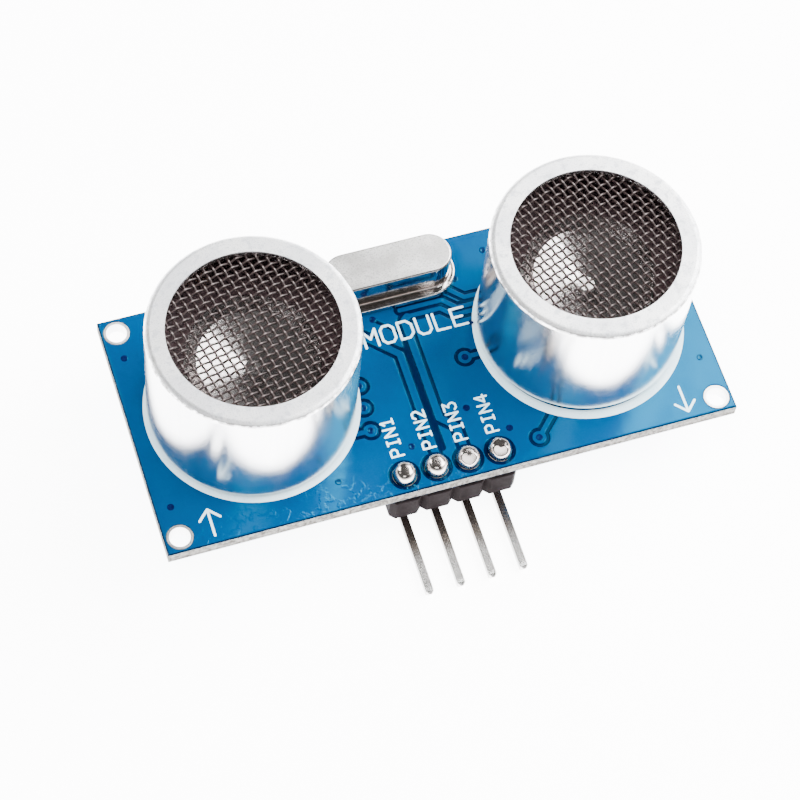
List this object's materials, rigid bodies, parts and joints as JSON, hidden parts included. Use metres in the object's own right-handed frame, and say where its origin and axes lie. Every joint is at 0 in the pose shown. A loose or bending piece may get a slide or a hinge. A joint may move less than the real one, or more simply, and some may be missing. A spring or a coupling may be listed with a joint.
{
  "type": "ultrasonic distance sensor",
  "caption": "Ultrasonic distance sensor board with two round metal transducers, a quartz crystal and a right-angle pin header.",
  "frame": {"origin": "centre of the four corner holes, on the board's back face", "axes": "+Z is the way the transducers face, +X runs along the board from the transmitter to the receiver, +Y points to the crystal's edge, so the header pins leave along -Y"},
  "size_m": [0.0454, 0.0267, 0.0181],
  "materials": {
    "glass_epoxy_board": "glass-fibre epoxy, cut edge pale grey-beige",
    "copper_foil": "etched copper, hidden under the mask",
    "blue_solder_mask": "glossy blue film",
    "tin_plating": "bright tin over copper",
    "white_ink": "screen-printed ink",
    "header_plastic": "satin moulded plastic",
    "tinned_pin": "bright tinned metal",
    "solder": "shiny solder",
    "crystal_metal": "plated, lightly brushed",
    "seal_glass": "fused glass bead",
    "spring_metal": "satin",
    "quartz": "polished quartz with metal film",
    "chip_plastic": "matte moulding compound",
    "chip_lead_metal": "matte tin",
    "resistor_ceramic": "black glaze on alumina",
    "end_cap_tin": "matte tin",
    "capacitor_ceramic": "sintered ceramic, tan",
    "can_aluminium": "satin drawn aluminium",
    "screen_wire": "dark woven wire",
    "base_phenolic": "moulded phenolic",
    "silicone": "soft adhesive",
    "disc_metal": "satin",
    "piezo_ceramic": "fired ceramic with silver film",
    "cone_aluminium": "spun, bright",
    "copper_wire": "fine wire"
  },
  "bodies": {
    "root": {"board_core": "glass_epoxy_board", "front_copper": "copper_foil", "back_copper": "copper_foil", "front_solder_mask": "blue_solder_mask", "back_solder_mask": "blue_solder_mask", "hole_plating": "tin_plating", "via_plugs": "blue_solder_mask", "front_legend": "white_ink", "back_legend": "white_ink", "header_housing": "header_plastic", "header_pin_1": "tinned_pin", "header_pin_2": "tinned_pin", "header_pin_3": "tinned_pin", "header_pin_4": "tinned_pin", "header_solder": "solder", "transducer_solder": "solder", "crystal_solder": "solder", "surface_solder": "solder", "crystal_can": "crystal_metal", "crystal_base": "crystal_metal", "crystal_seals": "seal_glass", "crystal_leads": "tinned_pin", "crystal_clips": "spring_metal", "crystal_blank": "quartz", "driver_chip_body": "chip_plastic", "controller_chip_body": "chip_plastic", "amplifier_chip_body": "chip_plastic", "driver_chip_leads": "chip_lead_metal", "controller_chip_leads": "chip_lead_metal", "amplifier_chip_leads": "chip_lead_metal", "transistor_body": "chip_plastic", "transistor_leads": "chip_lead_metal", "resistor_bodies": "resistor_ceramic", "resistor_end_caps": "end_cap_tin", "capacitor_bodies": "capacitor_ceramic", "capacitor_end_caps": "end_cap_tin", "transmitter_can": "can_aluminium", "transmitter_screen": "screen_wire", "transmitter_base_plate": "base_phenolic", "transmitter_terminals": "tinned_pin", "transmitter_adhesive_ring": "silicone", "transmitter_diaphragm": "disc_metal", "transmitter_piezo_disc": "piezo_ceramic", "transmitter_resonator_cone": "cone_aluminium", "transmitter_lead_wires": "copper_wire", "receiver_can": "can_aluminium", "receiver_screen": "screen_wire", "receiver_base_plate": "base_phenolic", "receiver_terminals": "tinned_pin", "receiver_adhesive_ring": "silicone", "receiver_diaphragm": "disc_metal", "receiver_piezo_disc": "piezo_ceramic", "receiver_resonator_cone": "cone_aluminium", "receiver_lead_wires": "copper_wire"}
  },
  "joints": []
}
